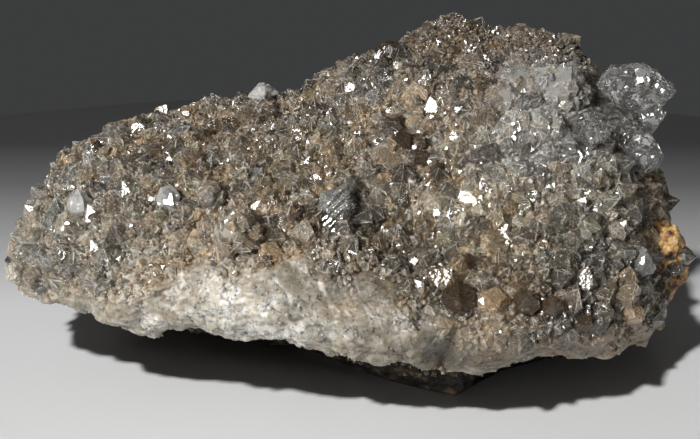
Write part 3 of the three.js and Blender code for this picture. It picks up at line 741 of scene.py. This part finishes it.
def inner_veils(name, group, each, key):
    """Healed cracks inside every crystal of a group."""
    own = default_rng(key)
    at, facing, radii = (np.repeat(part, each, axis=0) for part in group)
    n = len(at)
    spots = at + facing * (radii * own.uniform(0.1, 0.6, n))[:, None] + own.normal(0, 0.25, (n, 3)) * radii[:, None]
    sizes = radii * own.uniform(0.2, 0.45, n)
    colours = 0.45 * tints(spots, 0.2, key, 0.6) + 0.42
    crystal_field(name, spots, own.normal(size=(n, 3)), sizes, colours, VEIL_LOOK, PLATES, key)


inner_veils("large_point_veils", large, 3, 73)
inner_veils("medium_point_veils", medium, 1, 74)

# ---- The crust itself, as packed, cut finer and roughened, most of all along the milky broken edge ----


def welded(verts, tris):
    _, first, back = np.unique(np.round(verts, 4), axis=0, return_index=True, return_inverse=True)
    tris = back.reshape(-1)[tris]
    whole = (tris[:, 0] != tris[:, 1]) & (tris[:, 1] != tris[:, 2]) & (tris[:, 2] != tris[:, 0])
    return verts[first], tris[whole]


def everywhere(points):
    return np.ones(len(points), dtype=bool)


def cut_finer(verts, tris, wanted=everywhere):
    """Triangles cut in four where wanted is true of an edge's middle, without leaving a crack at the border."""
    edges = np.sort(np.vstack([tris[:, [0, 1]], tris[:, [1, 2]], tris[:, [2, 0]]]), axis=1)
    unique, back = np.unique(edges, axis=0, return_inverse=True)
    middles = verts[unique].mean(axis=1)
    cut = wanted(middles)
    mids = np.where(cut, len(verts) + np.cumsum(cut) - 1, -1)[back.reshape(3, -1).T]
    verts = np.vstack([verts, middles[cut]])
    count = (mids >= 0).sum(axis=1)
    (a, b, c), (ab, bc, ca) = tris[count == 3].T, mids[count == 3].T
    pieces = [(a, ab, ca), (ab, b, bc), (ca, bc, c), (ab, bc, ca)]
    for turn in range(3):
        order = np.roll([0, 1, 2], -turn)
        t, m = tris[:, order], mids[:, order]
        one = (count == 1) & (m[:, 0] >= 0)
        (a, b, c), ab = t[one].T, m[one][:, 0]
        pieces += [(a, ab, c), (ab, b, c)]
        two = (count == 2) & (m[:, 0] < 0)
        (a, b, c), (_, bc, ca) = t[two].T, m[two].T
        pieces += [(a, b, bc), (a, bc, ca), (ca, bc, c)]
    return verts, np.vstack([tris[count == 0]] + [np.stack(piece, 1) for piece in pieces])


def grains(points, size):
    """Rounded grains of about size mm: 1 at a grain's middle, falling to 0 at its border."""
    return np.array([1 - min(1.0, noise.voronoi(Vector(p) / size)[0][0] * 1.6) for p in points])


def under_crystals(points):
    """1 where a crystal stands on the crust, falling to 0 between crystals."""
    share = np.zeros(len(points))
    for at, _, radii in (large, medium):
        tree = KDTree(len(at))
        for n, spot in enumerate(at):
            tree.insert(spot, n)
        tree.balance()
        for n, point in enumerate(points):
            _, which, distance = tree.find(point)
            share[n] = max(share[n], min(1.0, max(0.0, (1.1 - distance / radii[which]) / 0.4)))
    return share


CALMING = 0.85  # how far the milky edge is drawn to its smoothed form
GAP_PAINTED_SHADE = np.array([0.55, 0.56, 0.56])  # painted shade: the bare crust between the crystals is this much darker
SUGAR_GRAINS = 6000
fine_verts, fine_tris = cut_finer(*cut_finer(*welded(crust_verts, crust_tris)))
fine_verts, fine_tris = cut_finer(fine_verts, fine_tris, lambda middles: milkiness(middles) > 0.25)
milk = milkiness(fine_verts)
calm_tree = tree_of(*remeshed(crust_verts, crust_tris, 1.1, 30))
calm_normal = nearest(form_tree, fine_verts, 1)
fine_verts = fine_verts + CALMING * milk[:, None] * (nearest(calm_tree, fine_verts, 0) - fine_verts)
below = milk * smoothstep(0.1, -0.5, calm_normal[:, 2]) * smoothstep(0.2, -0.2, calm_normal[:, 1])
bulge = below * (0.1 + 1.0 * fbm(fine_verts, 3.5, 6.0))
covered = (1 - milk) * under_crystals(fine_verts)
bare = (1 - milk) * (1 - covered)
height = 0.12 * fbm(fine_verts, 0.9, 5.0) - 0.25 * (1 - milk)
milky_height = 0.25 * grains(fine_verts, 1.0) + 0.12 * grains(fine_verts, 0.55) - 0.1 + 0.35 * fbm(fine_verts, 3.2, 4.0)
height = height * (1 - milk) + milky_height * milk
out = vertex_normals(fine_verts, fine_tris)
fine_verts = fine_verts + out * height[:, None] + calm_normal * bulge[:, None]
# Painted light: the crust under the crystals is lighter. Painted shade: the bare crust between them is darker. Then
# comes the painted shade and light of the large crystals.
gap_colour = tints(fine_verts, 0.1, 70, 0.25) ** (1 - 0.3 * covered[:, None])
gap_colour *= 1 - bare[:, None] * GAP_PAINTED_SHADE
gap_colour = np.clip(gap_colour * hero_painted_shade_and_light(fine_verts)[:, None], 0.004, 0.9)
crust = new_piece("quartz_crust_body", fine_verts, fine_tris, CRUST_LOOK, gap_colour)
set_milk(crust, milk)
corners = read(crust.data.loops, "vertex_index", 1, np.int32).reshape(-1, 3)
crust.data.polygons.foreach_set("use_smooth", milk[corners].mean(axis=1) > 0.4)
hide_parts("quartz_crust")

# Sugary grains, half sunk, all over the milky edge.
own = default_rng(190)
out = face_normals(fine_verts, fine_tris)
area = lengths(out)
pick = by_weight(own, area * smoothstep(0.3, 0.6, milk[fine_tris].mean(axis=1)), SUGAR_GRAINS)
spots, facing = fine_verts[fine_tris[pick]].mean(axis=1), out[pick] / area[pick][:, None]
radii = np.clip(own.lognormal(-1.1, 0.3, len(pick)), 0.2, 0.7)
sugar = crystal_field(
    "milky_grains", spots - 0.6 * facing * radii[:, None], facing + own.normal(0, 0.6, facing.shape), radii,
    tints(spots, 0.15, 191, 0.25), CRUST_LOOK, GRAINS, 192, smooth=True,
)
set_milk(sugar, np.ones(len(sugar.data.vertices)))

# ---- The rock and the nub ----


def roughened(node, voxel_mm, height_of):
    verts, quads = remeshed(*solid(node), voxel_mm, 1)
    return verts + vertex_normals(verts, quads) * height_of(verts)[:, None], quads


def rock_height(verts):
    """Rough all over but at the foot, which rests on the table."""
    lift = smoothstep(0.0, 2.5, verts[:, 2])
    return lift * (0.8 * fbm(verts, 3.0, 8.0) + 0.4 * fbm(verts, 1.0, 8.5) - 0.3)


def nub_height(verts):
    return 0.4 * fbm(verts, 1.2, 9.0) + 0.35 * fbm(verts, 3.0, 9.5)


rock_verts, rock_quads = roughened("matrix_rock", 0.6, rock_height)
rock_verts[:, 2] = np.maximum(rock_verts[:, 2], 0)
rock = new_piece("matrix_rock_body", rock_verts, rock_quads, ROCK_LOOK)
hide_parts("matrix_rock")
nub = new_piece("iron_stained_nub_body", *roughened("iron_stained_nub", 0.35, nub_height), RUST_LOOK)
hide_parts("iron_stained_nub")

# ---- The large crystals keep their form; growth steps break each face into slightly tilted flats ----

HERO_ROWS = {  # look, tilt of the growth steps (0: ribs), healed cracks, the widest one, small crystals all over it
    "clear_crystal_spray": (GLASS_LOOK, 0.12, 90, 1.7, 0),
    "round_clear_crystal": (GLASS_LOOK, 0.12, 16, 0.9, 0),
    "upper_ledge_crystal": (CLOUDY_GLASS_LOOK, 0.12, 60, 1.1, 0.24),
    "lower_ledge_crystal": (HAZY_GLASS_LOOK, 0.12, 110, 1.0, 0.8),
    "smoky_slab_crystal": (SMOKE_GLASS_LOOK, 0.12, 10, 0.8, 0),
    "striated_crystal": (HAZY_GLASS_LOOK, 0, 50, 0.9, 0),
    "domed_crystal": (WARM_GLASS_LOOK, 0.12, 40, 0.9, 0.35),
    "left_round_crystal": (WARM_GLASS_LOOK, 0.06, 0, 0, 0.35),
    "left_pale_crystal": (PALE_GLASS_LOOK, 0.06, 0, 0, 0),
    "left_bright_crystal": (PALE_GLASS_LOOK, 0.06, 0, 0, 0),
    "crest_crystal": (PALE_GLASS_LOOK, 0.12, 0, 0, 0),
    "dark_hexagonal_crystal": (SMOKE_GLASS_LOOK, 0.03, 8, 0.6, 0),
    "right_pale_crystal": (HAZY_GLASS_LOOK, 0.12, 0, 0, 0),
}
CRACK_WAY = np.array([-0.41, -0.81, 0.42])  # the way that most healed cracks face
RIB_LINE = np.array([0.8, 0.0, 0.6])  # the way that the striated crystal's ribs run
RIB_STEP = 1.0
STEP_SIZE = 1.3
STEP_MOST = 0.12  # the most that a growth step moves the surface


def hero_row(name):
    return HERO_ROWS.get(name, (GLASS_LOOK, 0.12, 0, 0, 0))


def stepped(verts, tris, tilt, key):
    own = default_rng(key)
    area = lengths(face_normals(verts, tris))
    pick = by_weight(own, area, max(8, int(area.sum() / 2 / STEP_SIZE ** 2)))
    seeds = verts[tris[pick]].mean(axis=1)
    slopes = own.normal(0, tilt, seeds.shape)
    near = ((verts[:, None, :] - seeds[None]) ** 2).sum(axis=2).argmin(axis=1)
    height = ((verts - seeds[near]) * slopes[near]).sum(axis=1)
    return verts + vertex_normals(verts, tris) * np.clip(height, -STEP_MOST, STEP_MOST)[:, None]


def ribbed(verts, tris):
    across = np.cross(RIB_LINE, [0, -1, 0]) @ verts.T
    height = 0.16 * np.sin(2 * math.pi * across / RIB_STEP + 2 * fbm(verts, 3.0, 1.5))
    return verts + vertex_normals(verts, tris) * height[:, None]


def veils(name, verts, tris, number, widest, key):
    """Pale healed cracks inside a crystal, each a thin closed plate."""
    own = default_rng(key)
    tree = tree_of(verts, tris)
    low, high = verts.min(axis=0), verts.max(axis=0)
    spots = []
    while len(spots) < number:
        spot = own.uniform(low, high)
        near, normal, _, distance = tree.find_nearest(Vector(spot))
        if (Vector(spot) - near) @ normal < 0 and distance > 0.25:
            spots.append((*spot, min(distance * 1.1, own.uniform(0.4, widest))))
    spots = np.array(spots)
    ways = CRACK_WAY + own.normal(0, 1.2, (number, 3))
    return crystal_field(name, spots[:, :3], ways, spots[:, 3], np.full((number, 3), 0.98), VEIL_LOOK, PLATES, key)


for number, name in enumerate(HEROES):
    look, tilt, cracks, widest, _ = hero_row(name)
    verts, tris = welded(*solid(name))
    for _ in range(3 if tilt else 4):
        verts, tris = cut_finer(verts, tris)
    shaped = stepped(verts, tris, tilt, 90 + number) if tilt else ribbed(verts, tris)
    body = new_piece(name + "_body", shaped, tris, look)
    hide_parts(name)
    if cracks:
        veils(name + "_veils", verts, tris, cracks, widest, 130 + number)

# ---- Flat faces that catch the light, and single crystals at their places in the photo ----

KEY_AT = Vector((-0.39, -0.44, 0.335))
CAMERA_AT = Vector((0.0012443, -0.1734472, 0.079005))
FLAT_FACES = [(place(x, y, z), radius, proud) for x, y, z, radius, proud in (  # proud: how far it stands out
    (43.1, 2.0, 45.1, 0.7, 0.2), (44.2, 2.0, 45.3, 0.5, 0.2), (42.2, 2.1, 43.9, 0.45, 0.2),
    (46.6, 2.4, 43.3, 0.7, 0.2), (45.8, 2.2, 44.2, 0.4, 0.2), (41.6, 2.3, 42.0, 0.45, 0.2),
    (40.2, 3.0, 43.0, 0.35, 0.2), (45.2, 1.4, 40.0, 0.4, 0.2), (42.1, -1.1, 32.5, 0.5, 0.2),
    (43.1, -1.0, 34.5, 0.35, 0.2), (28.2, -6.5, 33.9, 0.6, 0.9), (31.7, -5.0, 35.5, 0.5, 0.8),
    (24.3, -2.2, 37.3, 0.45, 0.7), (26.7, -4.4, 36.1, 0.45, 0.8), (29.3, -2.3, 38.9, 0.4, 0.7),
    (-25.8, -9.2, 29.9, 1.2, 0.3), (-28.6, -7.3, 29.4, 0.45, 0.9), (9.0, -19.0, 24.0, 0.7, 0.9),
    (9.4, -22.6, 22.1, 0.7, 0.9), (-11.1, -21.5, 25.0, 0.6, 0.5), (12.6, 3.7, 39.0, 0.5, 0.9),
    (-16.5, -19.7, 30.0, 0.5, 0.3), (9.8, -0.8, 35.5, 0.4, 0.9), (7.2, 1.8, 37.0, 0.35, 0.9),
    (12.0, -3.8, 33.9, 0.45, 0.9), (10.5, 2.0, 37.0, 0.4, 0.7), (14.5, -2.0, 35.6, 0.35, 0.7),
    (5.0, 1.0, 36.3, 0.3, 0.7),
)]
BRIGHT_SHOULDERS = 130  # medium crystals with a bright face of their own
RIDGES = [(-3.9, -15.2, 28.9, 1.1), (-3.5, -15.5, 28.4, 1.3), (-3.1, -15.7, 27.9, 1.2), (-2.7, -15.9, 27.4, 0.9)]
RIDGE_SECTION = [(0, -0.12), (0, 0.1), (-0.3, 0.2), (-1.3, 0.2), (-1.3, -0.22), (-0.3, -0.22)]  # outwards, sideways
SMOKY_ONES = np.array([  # x, y, z, radius
    (23.2, -26.2, 20.8, 1.7), (26.6, -26.5, 20.6, 1.4), (31.1, -25.6, 17.8, 1.2),
    (35.6, -22.4, 18.1, 1.1), (16.0, -20.5, 24.6, 1.2), (8.3, 0.9, 35.8, 1.6),
    (10.9, -2.8, 33.8, 1.4), (6.9, 4.2, 37.6, 1.3), (12.7, -5.6, 33.1, 1.2),
])


def mirror_way(spot):
    """The way that a face at spot (mm) has to look to show the lamp to the camera."""
    here = Vector(spot) * MM
    return np.array(((KEY_AT - here).normalized() + (CAMERA_AT - here).normalized()).normalized())


def flat_crystal(own, spot, radius):
    """A small crystal whose flat front face looks the mirror way, as (vertices, triangles)."""
    n = own.integers(4, 7)
    angle = np.arange(n) * 2 * math.pi / n + own.normal(0, 0.25, n)
    rim = np.stack([np.cos(angle), np.sin(angle), np.zeros(n)], axis=1) * own.uniform(0.7, 1.15, (n, 1))
    verts = np.vstack([rim, rim * 1.3 + [0, 0, -0.5], rim * 1.1 + [0, 0, -1.6], [[0, 0, 0]], [[0, 0, -1.6]]])
    tris = fan(n, 3 * n) + fan(n, 3 * n + 1, first=2 * n, flip=True)
    for low, high in ((n, 0), (2 * n, n)):
        for k in range(n):
            m = (k + 1) % n
            tris += [(low + k, low + m, high + m), (low + k, high + m, high + k)]
    way = mirror_way(spot) + own.normal(0, 0.045, 3)
    turn = turned(way[None], own.uniform(0, 6.28, 1))[0]
    return verts * radius @ turn.T + spot, np.array(tris)


def ridge(own, spot, half):
    """A long prism whose lit flank looks the mirror way, as (vertices, triangles)."""
    along = RIB_LINE + own.normal(0, 0.03, 3)
    along /= np.linalg.norm(along)
    out = mirror_way(spot)
    out -= along * (out @ along)
    out /= np.linalg.norm(out)
    side = np.cross(along, out)
    verts = [
        spot + along * (end * half * own.uniform(0.9, 1.0)) + out * a + side * b
        for end in (-1, 1) for a, b in RIDGE_SECTION
    ]
    tris = [(k, (k + 1) % 6, 6 + (k + 1) % 6) for k in range(6)] + [(k, 6 + (k + 1) % 6, 6 + k) for k in range(6)]
    tris += [(0, k + 1, k) for k in range(1, 5)] + [(6, 6 + k, 7 + k) for k in range(1, 5)]
    return np.array(verts), np.array(tris)


own = default_rng(180)
ledge_verts, ledge_tris = solid("lower_ledge_crystal")
for corners in ledge_verts[ledge_tris[own.choice(len(ledge_tris), 60)]]:
    spot = corners.mean(axis=0)
    if mirror_way(spot) @ np.cross(corners[1] - corners[0], corners[2] - corners[0]) > 0:
        FLAT_FACES.append((spot + own.normal(0, 0.5, 3), own.uniform(0.2, 0.4), 0.7))
front = np.flatnonzero(medium[1][:, 1] < 0.3)
for n in own.choice(front, BRIGHT_SHOULDERS, replace=False):
    at, facing, radii = (part[n] for part in medium)
    FLAT_FACES.append((at + facing * radii * 0.7, own.uniform(0.14, 0.32), 0.35 * radii))
flat_ones = [flat_crystal(own, spot + mirror_way(spot) * proud, radius) for spot, radius, proud in FLAT_FACES]
flat_ones += [ridge(own, place(*at), half) for *at, half in RIDGES]
flats = new_piece("flat_lit_faces", *joined(flat_ones), GLASS_LOOK)
bm = bmesh.new()
bm.from_mesh(flats.data)
bmesh.ops.recalc_face_normals(bm, faces=bm.faces)
bm.to_mesh(flats.data)
bm.free()

own = default_rng(184)
at, radii = SMOKY_ONES[:, :3] + SHIFT, SMOKY_ONES[:, 3]
facing = nearest(form_tree, at, 1)
ways = facing + own.normal(0, 0.25, facing.shape)
at = at + 0.25 * facing * radii[:, None]
colours = np.full(at.shape, 0.3)
crystal_field("single_smoky_crystals", at, ways, radii, colours, SMOKE_GLASS_LOOK, DOUBLES, 185)
pale_spot = place(18.3, -25.4, 20.6)
pale_mesh = flat_crystal(default_rng(186), pale_spot + mirror_way(pale_spot) * 0.9, 1.0)
new_piece("pale_flat_crystal", *pale_mesh, PALE_GLASS_LOOK)

# Crumbs of rock along the top of the matrix, under the lip.
own = default_rng(181)
at, facing = scattered(
    rock_verts, rock_quads, 9000, lambda points, facing: 0.7 * (points[:, 2] > 4.0) * (facing[:, 1] < -0.1), 0.8, 182
)
radii = own.uniform(0.3, 0.75, len(at))
colours = np.array([0.2, 0.155, 0.105]) * np.exp(own.normal(0, 0.5, (len(at), 1)))
ways = facing + own.normal(0, 0.5, facing.shape)
crystal_field("matrix_crumbs", at, ways, radii, colours, FINE_LOOK, GRAINS, 183)

# Small crystals round the feet of the large ones, and clear ones all over some of them.
collar_rows, on_ledge = [], []
for number, name in enumerate(HEROES):
    own = default_rng(160 + number)
    verts, tris = solid(name)
    out = face_normals(verts, tris)
    area = lengths(out)
    overgrown = hero_row(name)[-1]
    pick = by_weight(own, area, int(area.sum() * (overgrown or 2.5)))
    s, t = np.sort(own.uniform(0, 1, (2, len(pick), 1)), axis=0)
    a, b, c = (verts[corner] for corner in tris[pick].T)
    for spot, facing in zip(a * s + b * (t - s) + c * (1 - t), out[pick] / area[pick][:, None]):
        if overgrown or form_tree.find_nearest(Vector(spot))[3] < 0.5:
            radius = own.uniform(0.6, 1.3) if overgrown else own.uniform(0.35, 0.6)
            collar_rows.append((spot - 0.35 * facing * radius, facing, radius))
            on_ledge.append(overgrown > 0)
collar = tuple(np.array(part) for part in zip(*collar_rows))
ledge_points, collar = parted(collar, np.array(on_ledge))
field("collar_points", collar, 0.2, 0.8, CLEAR_LOOK, POINTS, 0.5, 69)
field("ledge_points", ledge_points, 0.15, 0.5, LEDGE_LOOK, POINTS, 0.5, 75)

SLOTS = {
    "matrix_rock_body": "dark_matrix", "matrix_crumbs": "dark_matrix", "iron_stained_nub_body": "iron_stained_rock",
    "flat_lit_faces": "clear_quartz", "pale_flat_crystal": "clear_quartz",
}
for name in HEROES:
    SLOTS[name + "_body"] = "smoky_quartz" if hero_row(name)[0] is SMOKE_GLASS_LOOK else "clear_quartz"
for piece in scene.objects:
    slotted = piece.name in nodes or piece.name.endswith("_veils") or piece.name == "single_smoky_crystals"
    if piece.type == "MESH" and not slotted:
        SLOTS.get(piece.name, "smoky_quartz_crust")

# ---- Floor, lights and camera ----

disc = bmesh.new()
bmesh.ops.create_circle(disc, cap_ends=True, segments=96, radius=0.2)
floor_data = bpy.data.meshes.new("floor")
disc.to_mesh(floor_data)
disc.free()
floor = added("floor", floor_data)
pale = Look("pale floor")
across = pale.add("SeparateXYZ")
pale.wire(pale.place, across.inputs[0])
# Painted shade: the floor is darker towards the back, where it would be out of the lamps' light.
depth = fill(pale.add("MapRange"), From_Min=0.02, From_Max=0.15)
pale.wire(across.outputs["Y"], depth.inputs["Value"])
painted_falloff = pale.ramp(depth.outputs[0], (0.0, 0.62), (0.3, 0.36), (0.6, 0.15), (0.9, 0.05))
grain = pale.ramp(pale.noise(40.0, 2.0), (0.3, 0.96), (0.7, 1.0))
pale.paint(pale.times(painted_falloff, grain))
pale.set(Roughness=0.8)
floor_data.materials.append(pale.material)

world = bpy.data.worlds.new("studio")
studio = Look("studio", world)
direction = studio.add("SeparateXYZ")
studio.wire(studio.place, direction.inputs[0])
studio.paint(studio.ramp(direction.outputs["Z"], (0.02, (0.045, 0.046, 0.047)), (0.3, 0.022)), "Color")
scene.world = world

LAMPS_AIM = Vector((0.0, 0.0, 0.024))
CAMERA_AIM = Vector((0.0012443, -0.0041592, 0.024))
GLINT_LAMPS = 16  # small ones all round, for glints on all sides


def faced(thing, at, aim):
    thing.location = at
    thing.rotation_euler = (aim - Vector(at)).to_track_quat("-Z", "Y").to_euler()


def area_light(name, at, size, watts):
    data = bpy.data.lights.new(name, "AREA")
    data.size = size
    data.energy = watts
    lamp = added(name, data)
    faced(lamp, at, LAMPS_AIM)
    return lamp


key = area_light("key", KEY_AT, 0.26, 5.0)
floor_key = area_light("floor_key", (-0.16, -0.41, 0.455), 0.03, 4.95)
sharp_key = area_light("sharp_key", (-0.38, -0.45, 0.34), 0.05, 1.45)
for lamp, state in ((key, "EXCLUDE"), (sharp_key, "EXCLUDE"), (floor_key, "INCLUDE")):  # the floor has its own lamp
    lit = bpy.data.collections.new(lamp.name + "_lights")
    lit.objects.link(floor)
    lit.collection_objects[0].light_linking.link_state = state
    lamp.light_linking.receiver_collection = lit
for n in range(GLINT_LAMPS):
    turn, rise = n * 2.4, 0.25 + 1.15 * ((n * 0.618) % 1)
    spot = 0.5 * Vector((math.cos(turn) * math.cos(rise), math.sin(turn) * math.cos(rise), math.sin(rise)))
    area_light(f"glint_{n}", spot, 0.014, 0.01)

view = bpy.data.cameras.new("camera")
view.lens = 60
view.sensor_width = 36
camera = added("camera", view)
faced(camera, CAMERA_AT, CAMERA_AIM)
bpy.context.scene.camera = camera
scene.view_settings.view_transform = "Standard"
